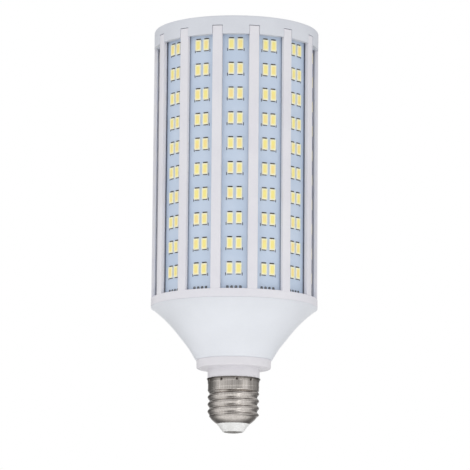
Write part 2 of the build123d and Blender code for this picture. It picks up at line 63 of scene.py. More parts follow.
class Flow:
    # One socket of a node tree that is being written; sums on it add Math nodes
    def __init__(self, tree, socket=None, made=None):
        self.tree = tree
        self.socket = socket
        self.made = made

    def node(self, kind, settings=None, inputs=None, output=0):
        made = self.tree.nodes.new(kind)
        for key, value in (settings or {}).items():
            if key == "stops":
                fillRamp(made.color_ramp, value)
            else:
                setattr(made, key, value)
        for key, value in (inputs or {}).items():
            if isinstance(value, Flow):
                self.tree.links.new(value.socket, made.inputs[key])
            else:
                made.inputs[key].default_value = value
        return Flow(self.tree, made.outputs[output] if made.outputs else None, made)

    def out(self, name):
        return Flow(self.tree, self.made.outputs[name], self.made)

    def maths(self, operation, first, second=0.0):
        return self.node("ShaderNodeMath", {"operation": operation}, {0: first, 1: second})

    def __add__(self, other):
        return self.maths("ADD", self, other)

    def __sub__(self, other):
        return self.maths("SUBTRACT", self, other)

    def __rsub__(self, other):
        return self.maths("SUBTRACT", other, self)

    def __mul__(self, other):
        return self.maths("MULTIPLY", self, other)

    def __truediv__(self, other):
        return self.maths("DIVIDE", self, other)

    def __neg__(self):
        return self.maths("MULTIPLY", self, -1.0)

    __radd__ = __add__
    __rmul__ = __mul__

    def floor(self):
        return self.maths("FLOOR", self)

    def sin(self):
        return self.maths("SINE", self)

    def cos(self):
        return self.maths("COSINE", self)

    def fraction(self):
        return self.maths("FRACT", self)

    def magnitude(self):
        return self.maths("ABSOLUTE", self)

    def root(self):
        return self.maths("SQRT", self)

    def ease(self, low, high):
        # 0 below low, 1 above high, with a soft step between
        settings = {"interpolation_type": "SMOOTHSTEP"}
        inputs = {"Value": self, "From Min": low, "From Max": high}
        return self.node("ShaderNodeMapRange", settings, inputs)

    def noise(self, place, scale, detail=3.0, roughness=0.55):
        inputs = {"Vector": place, "Scale": scale, "Detail": detail, "Roughness": roughness}
        return self.node("ShaderNodeTexNoise", None, inputs)

    def blend(self, factor, first, second):
        # sockets 6, 7 and 2 are the Mix node's two colours and its colour result
        inputs = {0: factor, 6: first, 7: second}
        return self.node("ShaderNodeMix", {"data_type": "RGBA"}, inputs, 2)

    def vector(self, x, y, z):
        return self.node("ShaderNodeCombineXYZ", None, {0: x, 1: y, 2: z})

    def split(self):
        parts = self.node("ShaderNodeSeparateXYZ", None, {0: self})
        return [parts.out(axis) for axis in "XYZ"]

    def marked(self, name):
        return self.node("ShaderNodeAttribute", {"attribute_name": name}).out("Fac")


def fillRamp(ramp, stops):
    for stop, (place, colour) in zip(ramp.elements, stops):
        stop.position = place
        stop.color = colour
    for place, colour in stops[len(ramp.elements):]:
        ramp.elements.new(place).color = colour


def paint(red, green, blue):
    # a colour as picked on screen, from 0 to 255, made linear
    linear = []
    for share in (red / 255, green / 255, blue / 255):
        linear.append(((share + 0.055) / 1.055) ** 2.4 if share > 0.04 else share / 12.92)
    return (*linear, 1.0)


# Finishes
def newFinish(name, constants=None):
    finish = bpy.data.materials.new(name)
    finish.use_nodes = True
    shader = finish.node_tree.nodes["Principled BSDF"]
    for socket, value in (constants or {}).items():
        shader.inputs[socket].default_value = value
    start = Flow(finish.node_tree)
    place = start.node("ShaderNodeTexCoord").out("Object")
    return finish, start, place, shader


def feed(start, shader, socket, flow):
    start.tree.links.new(flow.socket, shader.inputs[socket])


def bump(start, shader, height, distance):
    # distance is in metres
    inputs = {"Height": height, "Distance": distance}
    feed(start, shader, "Normal", start.node("ShaderNodeBump", None, inputs))


def mouldedPlastic(name, light, shade, roughness, grain):
    # moulded housing plastic: faint clouding in the colour and the gloss, and a fine grain
    finish, start, place, shader = newFinish(name, {"IOR": 1.5})
    cloud = start.noise(place, 38.0, 4.0)
    fleck = start.noise(place, 900.0, 2.0)
    tone = (cloud * 0.8 + fleck * 0.2).ease(0.3, 0.7)
    feed(start, shader, "Base Color", start.blend(tone, shade, light))
    feed(start, shader, "Roughness", cloud * 0.12 + (roughness - 0.06))
    fine = start.noise(place, 2600.0, 2.0)
    bump(start, shader, fine * 0.6 + cloud * 0.4, grain)
    return finish


# each: lighter tone, darker tone, roughness, depth of the grain in metres
capPlastic = mouldedPlastic(
    "capPlastic", paint(218, 221, 228), paint(211, 214, 222), 0.46, 0.00002)
cagePlastic = mouldedPlastic(
    "cagePlastic", paint(230, 229, 234), paint(223, 222, 229), 0.48, 0.00002)
funnelPlastic = mouldedPlastic(
    "funnelPlastic", paint(230, 233, 239), paint(225, 228, 234), 0.33, 0.000008)
adapterPlastic = mouldedPlastic(
    "adapterPlastic", paint(229, 227, 231), paint(223, 221, 226), 0.42, 0.000015)


def insulatorFinish(name):
    # glazed white, faintly clouded
    finish, start, place, shader = newFinish(name, {"Roughness": 0.28, "IOR": 1.52})
    cloud = start.noise(place, 160.0, 4.0).ease(0.35, 0.7)
    tone = start.blend(cloud, paint(223, 223, 221), paint(238, 238, 237))
    feed(start, shader, "Base Color", tone)
    bump(start, shader, start.noise(place, 1800.0), 0.00001)
    return finish


insulatorPlastic = insulatorFinish("insulatorPlastic")


def nickelPlate(name):
    # bright nickel: drawing marks along the axis, and painted shade and dark reflections where the
    # mesh marks them
    finish, start, place, shader = newFinish(name, {"Metallic": 1.0})
    x, y, z = place.split()
    marks = start.noise(start.vector(x, y, z * 0.06), 1500.0, 3.0)
    stain = start.noise(place, 420.0, 5.0, 0.65)
    groove = start.marked("groove")
    plain = start.blend(marks.ease(0.3, 0.7), paint(194, 188, 182), paint(216, 210, 205))
    stainAndDarkReflection = start.blend(stain.ease(0.52, 0.8) * 0.5, plain, paint(160, 149, 140))
    # paint(62, 55, 50) is the painted shade and dark reflection in the thread's lines, rolled edge,
    # foot and dimples
    feed(start, shader, "Base Color", start.blend(groove, stainAndDarkReflection, paint(62, 55, 50)))
    feed(start, shader, "Roughness", marks * 0.08 + stain * 0.1 + groove * 0.05 + 0.1)
    bump(start, shader, marks * 0.6 + stain * 0.4, 0.00002)
    return finish


shellPlate = nickelPlate("shellPlate")


def contactFinish(name):
    # pressed metal, scratched one way
    finish, start, place, shader = newFinish(name, {"Metallic": 1.0})
    drawn = start.node("ShaderNodeMapping", None, {"Vector": place, "Scale": (900.0, 120.0, 300.0)})
    scratch = start.noise(drawn, 2.0, 5.0)
    tone = start.blend(scratch.ease(0.4, 0.7), paint(213, 211, 207), paint(179, 175, 169))
    feed(start, shader, "Base Color", tone)
    feed(start, shader, "Roughness", scratch * 0.3 + 0.25)
    bump(start, shader, scratch, 0.00002)
    return finish


contactMetal = contactFinish("contactMetal")


def stripMask(name, light, shade, edge):
    # pale solder mask with painted shade along its edges; the copper fields under it show as faint
    # steps
    fieldPitch = 0.01272
    finish, start, place, shader = newFinish(name, {"IOR": 1.5})
    x, y, z = place.split()
    turns = x.maths("ARCTAN2", y, x) / facetTurn
    within = (turns - turns.floor() - 0.5) * facetTurn
    across = (x * x + y * y).root() * within.sin()
    # rim: the strips' edges, painted darker to stand for the shadow in the slots under the ribs'
    # flanges
    rim = across.magnitude().ease(0.0064, 0.0074)
    cloud = start.noise(place, 55.0, 4.0)
    weave = start.noise(place, 1400.0, 2.0)
    field = (z * (1 / fieldPitch)).fraction().ease(0.46, 0.5)
    tone = cloud.ease(0.3, 0.7) * 0.6 + field * 0.15 + weave * 0.25
    base = start.blend(tone, shade, light)
    feed(start, shader, "Base Color", start.blend(rim, base, edge))
    feed(start, shader, "Roughness", cloud * 0.1 + 0.36)
    bump(start, shader, field * 0.5 + weave * 0.2, 0.00002)
    return finish


# the third colour is the painted shade at the strips' edges
stripBoard = stripMask(
    "stripBoard", paint(204, 217, 235), paint(190, 206, 227), paint(112, 122, 142))


def packageFinish(name):
    # the lamp packages' white frames, with a painted warm glow towards the window for what shines
    # through them
    finish, start, place, shader = newFinish(name, {"Roughness": 0.42})
    cloud = start.noise(place, 700.0, 3.0).ease(0.35, 0.7)
    base = start.blend(cloud, paint(246, 243, 226), paint(252, 250, 238))
    # paint(252, 245, 196) is painted glow on the frame round the window
    warm = start.blend(start.marked("warmth"), base, paint(252, 245, 196))
    feed(start, shader, "Base Color", warm)
    bump(start, shader, start.noise(place, 3000.0), 0.00001)
    return finish


def windowFinish(name):
    # silicone with yellow powder in it: strongest in the middle of each window, and warmer in some
    finish, start, place, shader = newFinish(name, {"Roughness": 0.3})
    powder = start.noise(place, 5200.0, 2.0)
    batch = start.noise(place, 210.0, 1.0)
    middle = start.blend(batch.ease(0.42, 0.68) * 0.8, paint(250, 235, 142), paint(251, 223, 150))
    base = start.blend(start.marked("warmth"), paint(253, 247, 200), middle)
    tone = start.blend(powder.ease(0.42, 0.7) * 0.25, base, paint(255, 246, 190))
    feed(start, shader, "Base Color", tone)
    bump(start, shader, powder, 0.00001)
    return finish


def solderFinish(name, bright, dull):
    finish, start, place, shader = newFinish(name, {"Metallic": 0.85})
    cloud = start.noise(place, 1500.0, 4.0)
    feed(start, shader, "Base Color", start.blend(cloud.ease(0.35, 0.7), dull, bright))
    feed(start, shader, "Roughness", cloud * 0.3 + 0.28)
    bump(start, shader, cloud, 0.00003)
    return finish


packagePlastic = packageFinish("packagePlastic")
windowSilicone = windowFinish("windowSilicone")
leadTin = solderFinish("leadTin", paint(112, 106, 94), paint(62, 58, 50))
padSolder = solderFinish("padSolder", paint(150, 152, 156), paint(84, 88, 96))


def evenCoat(name, colour, other, roughness, scale=600.0):
    # one even coat, faintly clouded
    finish, start, place, shader = newFinish(name)
    cloud = start.noise(place, scale, 4.0)
    feed(start, shader, "Base Color", start.blend(cloud.ease(0.35, 0.7), colour, other))
    feed(start, shader, "Roughness", cloud * 0.15 + roughness)
    bump(start, shader, cloud, 0.00001)
    return finish


markInk = evenCoat("markInk", paint(74, 80, 92), paint(58, 62, 74), 0.5)
innerFinishes = {
    "ring_board": evenCoat("ringLaminate", paint(226, 229, 231), paint(214, 218, 222), 0.35),
    "driver_board": evenCoat("driverLaminate", paint(36, 110, 62), paint(28, 92, 52), 0.32),
    "smoothing_capacitor": evenCoat("canSleeve", paint(30, 32, 44), paint(22, 24, 34), 0.3),
    "film_capacitor": evenCoat("filmCoating", paint(158, 52, 38), paint(140, 42, 32), 0.28),
    "power_inductor": evenCoat(
        "inductorWinding", paint(160, 92, 44), paint(120, 66, 30), 0.35, 1800.0),
    "bridge_rectifier": evenCoat("chipMoulding", paint(34, 34, 36), paint(26, 26, 28), 0.5),
    "fuse_resistor": evenCoat("fuseCoating", paint(96, 128, 118), paint(82, 112, 104), 0.4),
    "live_wire": evenCoat("redWire", paint(170, 34, 28), paint(148, 28, 24), 0.4),
    "neutral_wire": evenCoat("blackWire", paint(30, 30, 32), paint(22, 22, 24), 0.4),
}
likeNodes = {
    "output_capacitor": "smoothing_capacitor",
    "driver_chip": "bridge_rectifier",
    "switching_transistor": "bridge_rectifier",
    "positive_lead": "live_wire",
    "negative_lead": "neutral_wire",
}


def coat(nodeName, finish):
    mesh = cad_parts[nodeName].data
    mesh.materials.clear()
    mesh.materials.append(finish)


for nodeName, finish in innerFinishes.items():
    coat(nodeName, finish)
for nodeName, other in likeNodes.items():
    coat(nodeName, innerFinishes[other])
for index in range(1, facets + 1):
    coat(f"led_board_{index:02d}", stripBoard)
print("finishes ready:", len(bpy.data.materials))


# Making pieces: every size in a piece's dictionary is in millimetres
mergeReach = 0.000005  # in metres: points nearer than this become one
sliverReach = 0.0000002  # in metres: edges shorter than this go
hairline = 0.01  # in millimetres: sizes that differ by less are the same


def newPiece(name, points, faces, finish=None):
    mesh = bpy.data.meshes.new(name)
    mesh.from_pydata([Vector(point) * mm for point in points], [], faces)
    mesh.update()
    piece = bpy.data.objects.new(name, mesh)
    bpy.context.scene.collection.objects.link(piece)
    if finish:
        mesh.materials.append(finish)
    return piece


def mark(piece, name, values):
    # one number a point, which the finishes read by this name
    layer = piece.data.attributes.new(name, "FLOAT", "POINT")
    layer.data.foreach_set("value", values)


def settle(piece):
    # what the modifiers make becomes the piece's own mesh
    view = bpy.context.evaluated_depsgraph_get()
    made = bpy.data.meshes.new_from_object(piece.evaluated_get(view))
    piece.modifiers.clear()
    old = piece.data
    piece.data = made
    bpy.data.meshes.remove(old)


def softenEdges(piece, width, angle=35, segments=3):
    cut = piece.modifiers.new("softEdges", "BEVEL")
    cut.width = width * mm
    cut.segments = segments
    cut.limit_method = "ANGLE"
    cut.angle_limit = math.radians(angle)
    settle(piece)


def smooth(piece, angle=32):
    piece.data.shade_smooth()
    piece.data.set_sharp_from_angle(angle=math.radians(angle))


def rework(piece, work):
    # opens the piece's mesh for one job
    shape = bmesh.new()
    shape.from_mesh(piece.data)
    work(shape)
    shape.to_mesh(piece.data)
    shape.free()


def faceOut(piece):
    def work(shape):
        bmesh.ops.remove_doubles(shape, verts=shape.verts, dist=mergeReach)
        bmesh.ops.recalc_face_normals(shape, faces=shape.faces)

    rework(piece, work)


def dropSlivers(piece):
    # faces without area, which a bevel leaves where its edges meet
    rework(piece, lambda shape: bmesh.ops.dissolve_degenerate(
        shape, dist=sliverReach, edges=shape.edges))


def join(first, *others):
    def work(shape):
        for other in others:
            shape.from_mesh(other.data)

    rework(first, work)
    for other in others:
        bpy.data.objects.remove(other)


def hold(piece, slot, *nodeNames):
    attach(piece, "root")
    if nodeNames:
        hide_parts(*nodeNames)


def wallFaces(rings, around):
    # faces between closed rings of points that are listed ring by ring
    faces = []
    for low in range(0, (rings - 1) * around, around):
        for place in range(around):
            after = (place + 1) % around
            high = low + around
            faces.append([low + place, low + after, high + after, high + place])
    return faces


def stackFaces(rings, around):
    # the same, with a face at each end
    last = (rings - 1) * around
    foot = list(range(around - 1, -1, -1))
    return [foot] + wallFaces(rings, around) + [list(range(last, last + around))]


def rounded(corners, steps=5):
    # a closed outline of (radius, level, fillet) corners, each drawn as an arc of its own fillet
    outline = []
    for here, (radius, level, fillet) in enumerate(corners):
        corner = Vector((radius, level))
        if not fillet:
            outline.append(tuple(corner))
            continue
        back = (Vector(corners[here - 1][:2]) - corner).normalized()
        onward = (Vector(corners[(here + 1) % len(corners)][:2]) - corner).normalized()
        half = back.angle(onward) / 2
        centre = corner + (back + onward).normalized() * fillet / math.sin(half)
        first = corner + back * fillet / math.tan(half) - centre
        last = corner + onward * fillet / math.tan(half) - centre
        start = math.atan2(first.y, first.x)
        sweep = math.remainder(math.atan2(last.y, last.x) - start, 2 * math.pi)
        for step in range(steps + 1):
            angle = start + sweep * step / steps
            across, up = fillet * math.cos(angle), fillet * math.sin(angle)
            outline.append((centre.x + across, centre.y + up))
    return outline


def turned(name, outline, finish, columns=192, facetRadius=None):
    # a closed outline of (radius, level) turned round the axis; points on the axis close as poles.
    # facetRadius is measured to the middle of the flat facets that lie there
    points = []
    rings = []
    for radius, level in outline:
        if radius < hairline:
            points.append((0, 0, level))
            rings.append([len(points) - 1] * columns)
            continue
        ring = []
        for column in range(columns):
            angle = 2 * math.pi * column / columns
            reach = radius
            if facetRadius and abs(radius - facetRadius) < hairline:
                reach = radius / math.cos(math.remainder(angle - facetTurn / 2, facetTurn))
            ring.append(len(points))
            points.append((reach * math.cos(angle), reach * math.sin(angle), level))
        rings.append(ring)
    faces = []
    for low, high in zip(rings, rings[1:] + rings[:1]):
        for column in range(columns):
            after = (column + 1) % columns
            corners = [low[column], low[after], high[after], high[column]]
            face = [corner for place, corner in enumerate(corners) if corner != corners[place - 1]]
            if len(face) > 2:
                faces.append(face)
    piece = newPiece(name, points, faces, finish)
    faceOut(piece)
    return piece


# Arrays on the lamp: one tree puts a small piece at every row, column and facet
def stripArray():
    tree = bpy.data.node_groups.new("stripArray", "GeometryNodeTree")
    sockets = {}
    for name, kind in (
        ("Small Piece", "NodeSocketGeometry"),
        ("Facets", "NodeSocketInt"),
        ("Facet Shift", "NodeSocketFloat"),
        ("Rows", "NodeSocketInt"),
        ("Columns", "NodeSocketInt"),
        ("Row Pitch", "NodeSocketFloat"),
        ("Column Pitch", "NodeSocketFloat"),
        ("First Level", "NodeSocketFloat"),
        ("Distance", "NodeSocketFloat"),
        ("Finish", "NodeSocketMaterial"),
    ):
        sockets[name] = tree.interface.new_socket(name, in_out="INPUT", socket_type=kind).identifier
    tree.interface.new_socket("Array", in_out="OUTPUT", socket_type="NodeSocketGeometry")
    start = Flow(tree)
    given = start.node("NodeGroupInput")
    rows, columns, count = given.out("Rows"), given.out("Columns"), given.out("Facets")
    index = start.node("GeometryNodeInputIndex")
    facet = (index / (rows * columns)).floor()
    rest = index - facet * rows * columns
    row = (rest / columns).floor()
    column = rest - row * columns
    across = (column - (columns - 1.0) * 0.5) * given.out("Column Pitch")
    level = given.out("First Level") + row * given.out("Row Pitch")
    angle = (facet + given.out("Facet Shift")) * (2 * math.pi) / count
    distance = given.out("Distance")
    x = distance * angle.cos() - across * angle.sin()
    y = distance * angle.sin() + across * angle.cos()
    spots = start.node("GeometryNodePoints", None, {"Count": rows * columns * count})
    place = start.vector(x, y, level)
    spots = start.node("GeometryNodeSetPosition", None, {"Geometry": spots, "Position": place})
    turn = start.vector(math.pi / 2, 0.0, angle + math.pi / 2)
    inputs = {"Points": spots, "Instance": given.out("Small Piece"), "Rotation": turn}
    placed = start.node("GeometryNodeInstanceOnPoints", None, inputs)
    real = start.node("GeometryNodeRealizeInstances", None, {"Geometry": placed})
    inputs = {"Geometry": real, "Material": given.out("Finish")}
    finished = start.node("GeometryNodeSetMaterial", None, inputs)
    start.node("NodeGroupOutput", None, {"Array": finished})
    return tree, sockets


arrayTree, arraySockets = stripArray()


def repeat(piece, finish, distance, firstLevel,
           rows=1, columns=1, rowPitch=0, columnPitch=0, shift=0.5):
    # the small piece lies across x, up y and out z; the array stands it on the facets, or with
    # a shift of 0 on the corners between them
    array = piece.modifiers.new("stripArray", "NODES")
    array.node_group = arrayTree
    values = {
        "Facets": facets,
        "Facet Shift": shift,
        "Rows": rows,
        "Columns": columns,
        "Row Pitch": rowPitch * mm,
        "Column Pitch": columnPitch * mm,
        "First Level": firstLevel * mm,
        "Distance": distance * mm,
        "Finish": finish,
    }
    for name, value in values.items():
        array[arraySockets[name]] = value
    settle(piece)


# End cap: a skirt with a notch over each rib, closed by a plain disc
cap = {
    "radius": 42.3,
    "skirtHeight": 9.5,
    "wall": 1.8,
    "edgeRadius": 1.3,
    "edgeSteps": 6,
    "topRings": (36.0, 26.0, 15.0, 6.0),
    "notchHeight": 4.55,
    "notchWidth": 5.3,
    "notchSteps": 3,
    "plainSteps": 5,
    "softEdge": 0.22,
    "ledgeThickness": 1.6,
    "ledgeSink": 0.05,
    "ledgeSteps": 8,
    "ledgeEdge": 0.15,
}
skirtFoot = capTop - cap["skirtHeight"]


def makeCap():
    notchTop = skirtFoot + cap["notchHeight"]
    corner, outer = cap["edgeRadius"], cap["radius"]
    shoulder = capTop - corner
    rows = [(outer, skirtFoot), (outer, notchTop), (outer, (notchTop + shoulder) / 2)]
    for step in range(cap["edgeSteps"] + 1):
        angle = math.pi / 2 * step / cap["edgeSteps"]
        reach, rise = corner * math.cos(angle), corner * math.sin(angle)
        rows.append((outer - corner + reach, shoulder + rise))
    rows += [(radius, capTop) for radius in cap["topRings"]]

    notchHalf = math.asin(cap["notchWidth"] / 2 / outer)
    plain = (facetTurn / 2 - notchHalf) / cap["plainSteps"]
    halfSteps = [notchHalf * step / cap["notchSteps"] for step in range(cap["notchSteps"] + 1)]
    halfSteps += [notchHalf + plain * step for step in range(1, cap["plainSteps"] + 1)]
    steps = [-step for step in reversed(halfSteps[1:-1])] + halfSteps
    angles = [rib * facetTurn + step for rib in range(facets) for step in steps]
    inNotch = [abs(math.remainder(angle, facetTurn)) < notchHalf * 1.001 for angle in angles]

    count = len(angles)
    points = [(r * math.cos(a), r * math.sin(a), z) for r, z in rows for a in angles]
    faces = wallFaces(len(rows), count)
    skirt = [faces[k] for k in range(count) if not (inNotch[k] and inNotch[(k + 1) % count])]
    last = len(points) - count
    points.append((0, 0, capTop))
    fan = [[last + k, last + (k + 1) % count, len(points) - 1] for k in range(count)]
    piece = newPiece("endCap", points, skirt + faces[count:] + fan, capPlastic)
    faceOut(piece)
    wall = piece.modifiers.new("wall", "SOLIDIFY")
    wall.thickness = cap["wall"] * mm
    wall.offset = -1
    wall.use_even_offset = True
    settle(piece)
    softenEdges(piece, cap["softEdge"])
    dropSlivers(piece)
    return piece


def makeLedge():
    # inside the skirt's mouth, in front of each strip
    inner = boardFace + boardSpace
    outer = cap["radius"] - cap["wall"] + cap["ledgeSink"]
    notchSide = cap["notchWidth"] / 2
    innerHalf = inner * math.tan(facetTurn / 2) - notchSide / math.cos(facetTurn / 2)
    outerHalf = outer * math.sin(facetTurn / 2 - math.asin(notchSide / outer))
    outline = [(-innerHalf, inner), (innerHalf, inner)]
    for step in range(cap["ledgeSteps"] + 1):
        across = outerHalf * (1 - 2 * step / cap["ledgeSteps"])
        outline.append((across, math.sqrt(outer**2 - across**2)))
    points = [(x, level, z) for level in (0.0, cap["ledgeThickness"]) for x, z in outline]
    piece = newPiece("capLip", points, stackFaces(2, len(outline)))
    faceOut(piece)
    softenEdges(piece, cap["ledgeEdge"], 50, 2)
    repeat(piece, capPlastic, 0.0, skirtFoot)
    return piece


endCap = makeCap()
join(endCap, makeLedge())
smooth(endCap)
hold(endCap, "cap_plastic", "top_cap")
print("end cap:", len(endCap.data.polygons), "faces")

# Cage: bottom band with its floor, and fourteen ribs of I section
cage = {
    "bandHeight": 4.4,
    "bandColumns": 16,  # on each facet
    "floorThickness": 2.0,
    "floorWidth": 12.5,
    "bandEdge": 0.4,
    "footEdge": 0.4,
    "ribInset": 0.2,
    "ribSink": 1.0,
    "ribDraft": 0.12,
    "ribEdge": 0.3,
    "flangeWidth": 5.0,
    "flangeThickness": 1.95,
    "flangeTopGap": 0.25,
    "webThickness": 1.6,
    "webOverlap": 0.2,
    "webTopGap": 0.5,
    "innerFlangeWidth": 4.4,
    "innerFlangeThickness": 1.5,
    "innerFlangeFace": 37.55,
    "innerTopGap": 2.3,
    "innerEdge": 0.2,
}


def makeBand():
    top = cageFoot + cage["bandHeight"]
    floorTop = cageFoot + cage["floorThickness"]
    pocket = boardFace + boardSpace
    corners = [
        (lampRadius, cageFoot, cage["footEdge"]),
        (lampRadius, top, cage["bandEdge"]),
        (pocket, top, 0),
        (pocket, floorTop, 0),
        (lampRadius - cage["floorWidth"], floorTop, 0),
        (lampRadius - cage["floorWidth"], cageFoot, 0),
    ]
    columns = facets * cage["bandColumns"]
    return turned("ribCage", rounded(corners), cagePlastic, columns, pocket)


def makeRib():
    # three blocks, each a section in x across and z out, drawn up along y
    face = lampRadius - cage["ribInset"]
    back = face - cage["flangeThickness"]
    inner = cage["innerFlangeFace"]
    innerBack = inner - cage["innerFlangeThickness"]
    overlap = cage["webOverlap"]
    foot = cageFoot + cage["ribSink"]
    flangeTop = skirtFoot + cap["notchHeight"] - cage["flangeTopGap"]
    ribTop = capTop - cage["innerTopGap"]
    blocks = [
        (cage["flangeWidth"], back, face, flangeTop, cage["ribEdge"]),
        (cage["webThickness"], inner - overlap, back + overlap, flangeTop - cage["webTopGap"], 0),
        (cage["innerFlangeWidth"], innerBack, inner, ribTop, cage["innerEdge"]),
    ]
    made = []
    for width, near, far, top, edge in blocks:
        half = width / 2
        points = []
        for level in (foot, top):
            lean = cage["ribDraft"] * (level - foot) / (ribTop - foot)
            for x, z in ((-half, near), (half, near), (half, far), (-half, far)):
                points.append((x, level, z - lean))
        block = newPiece("ribBlock", points, stackFaces(2, 4))
        faceOut(block)
        if edge:
            softenEdges(block, edge)
        made.append(block)
    join(*made)
    repeat(made[0], cagePlastic, 0.0, 0.0, shift=0.0)
    return made[0]


ribCage = makeBand()
join(ribCage, makeRib())
smooth(ribCage)
hold(ribCage, "cage_plastic", "cage")
print("cage:", len(ribCage.data.polygons), "faces")

# Funnel: the flared housing under the cage
funnel = {
    "footRadius": 19.4,
    # shares of the way out and up
    "flare": ((0.0, 0.0), (0.155, 0.222), (0.333, 0.421), (0.52, 0.62), (0.746, 0.82), (1.0, 1.0)),
    "stepsPerSpan": 8,
    "wall": 1.8,
    "rimRadius": 0.35,
    "rimTurn": 52,
    "rimSteps": 5,
    "rimGap": 0.02,
    "rimDrop": 0.1,
    "rimSpace": 0.15,
    "footEdge": ((-0.32, 0.0), (-0.13, 0.04), (0.04, 0.15), (0.17, 0.3)),
    "footSpace": 0.2,
    "floorThickness": 2.0,
    "floorCorner": 0.3,
    "mouthRadius": 15.95,
}


def smoothLine(corners, steps):
    # an even curve through the corners
    corners = [Vector(corner) for corner in corners]
    padded = [2 * corners[0] - corners[1], *corners, 2 * corners[-1] - corners[-2]]
    line = []
    for before, here, onward, beyond in zip(padded, padded[1:], padded[2:], padded[3:]):
        slope = onward - before
        bend = 2 * before - 5 * here + 4 * onward - beyond
        twist = 3 * here - before - 3 * onward + beyond
        for step in range(steps):
            t = step / steps
            line.append(0.5 * (2 * here + slope * t + bend * t**2 + twist * t**3))
    return line + [padded[-2]]


def makeFunnel():
    foot = funnel["footRadius"]
    run, height = lampRadius - foot, cageFoot - funnelFoot
    flare = [(foot + run * out, funnelFoot + height * up) for out, up in funnel["flare"]]
    line = smoothLine(flare, funnel["stepsPerSpan"])

    rim = funnel["rimRadius"]
    rimTop = cageFoot - funnel["rimGap"]
    arcLevel = rimTop - rim * funnel["rimDrop"]
    arc = []
    for step in range(funnel["rimSteps"] + 1):
        angle = math.radians(funnel["rimTurn"]) * (step / funnel["rimSteps"] - 1)
        arc.append((lampRadius - rim + rim * math.cos(angle), arcLevel + rim * math.sin(angle)))
    arc.append((lampRadius, rimTop))

    tilt = math.atan2(run, height)
    shift = Vector((-funnel["wall"] * math.cos(tilt), funnel["wall"] * math.sin(tilt)))
    floorTop = funnelFoot + funnel["floorThickness"]
    inner = [point + shift for point in line if floorTop < (point + shift).y < cageFoot]
    mouth = funnel["mouthRadius"]

    outline = [(foot + out, funnelFoot + up) for out, up in funnel["footEdge"]]
    low, high = outline[-1][1] + funnel["footSpace"], arc[0][1] - funnel["rimSpace"]
    outline += [(point.x, point.y) for point in line if low < point.y < high] + arc
    outline += [(inner[-1].x, cageFoot)] + [(point.x, point.y) for point in reversed(inner)]
    outline.append((inner[0].x - funnel["floorCorner"], floorTop))
    outline += [(mouth, floorTop), (mouth, funnelFoot)]
    return turned("funnelHousing", outline, funnelPlastic)


funnelHousing = makeFunnel()
smooth(funnelHousing, 40)
hold(funnelHousing, "funnel_plastic", "funnel")

# Base adapter: collar and neck, with the plug that fills the screw shell
adapter = {
    "collarRadius": 18.95,
    "collarHeight": 4.35,
    "collarFoot": 0.8,
    "collarTop": 0.15,
    "neckRadius": 13.2,
    "neckHeight": 5.1,
    "neckRoot": 0.45,
    "neckEdge": 0.2,
    "plugRadius": 12.6,
    "plugFoot": 22.5,
    "plugEdge": 0.2,
    "boreRadius": 9.8,
    "spigotRadius": 15.85,
    "spigotEdge": 0.3,
}


def makeAdapter():
    collarFoot = funnelFoot - adapter["collarHeight"]
    neckFoot = collarFoot - adapter["neckHeight"]
    corners = [
        (adapter["boreRadius"], adapter["plugFoot"], 0),
        (adapter["plugRadius"], adapter["plugFoot"], adapter["plugEdge"]),
        (adapter["plugRadius"], neckFoot, 0),
        (adapter["neckRadius"], neckFoot, adapter["neckEdge"]),
        (adapter["neckRadius"], collarFoot, adapter["neckRoot"]),
        (adapter["collarRadius"], collarFoot, adapter["collarFoot"]),
        (adapter["collarRadius"], funnelFoot, adapter["collarTop"]),
        (adapter["spigotRadius"], funnelFoot, 0),
        (adapter["spigotRadius"], adapterTop, adapter["spigotEdge"]),
        (adapter["boreRadius"], adapterTop, adapter["spigotEdge"]),
    ]
    return turned("collarAdapter", rounded(corners), adapterPlastic)


collarAdapter = makeAdapter()
smooth(collarAdapter)
hold(collarAdapter, "adapter_plastic", "base_adapter")
print("funnel and adapter turned")

# Screw shell: rolled thread, plain band, flared lip and a row of punched dimples
shell = {
    "endRadius": 8.5,
    "endFold": 0.8,
    "coneHeight": 3.8,
    "coneBulge": 0.55,
    "rootRadius": 12.13,
    "crestRadius": 13.1,
    "crestPower": 0.9,
    "pitch": 3.629,
    "crestLevel": 9.1,
    "fadeIn": (-1.0, 0.7),
    "bandLevel": 21.3,
    "bandRadius": 13.0,
    "bandDrop": 1.3,
    "bandStep": (-0.9, 0.25),
    "lipLevel": 26.8,
    "lipRadius": 13.6,
    "lipSwell": 0.2,
    "lipSwellHeight": 2.0,
    "lipCurl": 0.2,
    "wall": 0.35,
    "columns": 288,
    "rowStep": 0.2,
    "dimples": 10,
    "dimpleTurn": -82.2,
    "dimpleDrop": 1.25,
    "dimpleDepth": 0.6,
    "dimpleSpread": 0.42,
}
# How much painted shade and dark reflection lies on the plating, from 0 to 1
paintedShellShade = {
    "places": 4,  # round the thread, where its painted dark lines are strongest
    "firstPlace": -97.0,
    "crest": 0.3,
    "crestLine": (0.0, 0.08),  # share of a turn above the crest, spread
    "flank": (0.44, 0.56),  # all round, and what the places add
    "flankLine": (0.21, 0.08),
    "floor": (0.12, 0.88),
    "floorLine": (0.52, 0.11),
    "floorPower": 2.5,
    "threadFoot": (2.6, 4.2),  # above the foot
    "threadTop": (20.6, 21.4),
    "lip": 0.3,
    "lipLine": (1.5, 2.2),  # below the lip
    "edge": 0.5,
    "edgeLine": (0.6, 1.1),
    "foot": 0.4,
    "footLine": (0.0, 2.0),
    "fold": 0.5,
    "pit": 2.0,
}


def eased(value, low, high):
    share = min(max((value - low) / (high - low), 0.0), 1.0)
    return share * share * (3 - 2 * share)


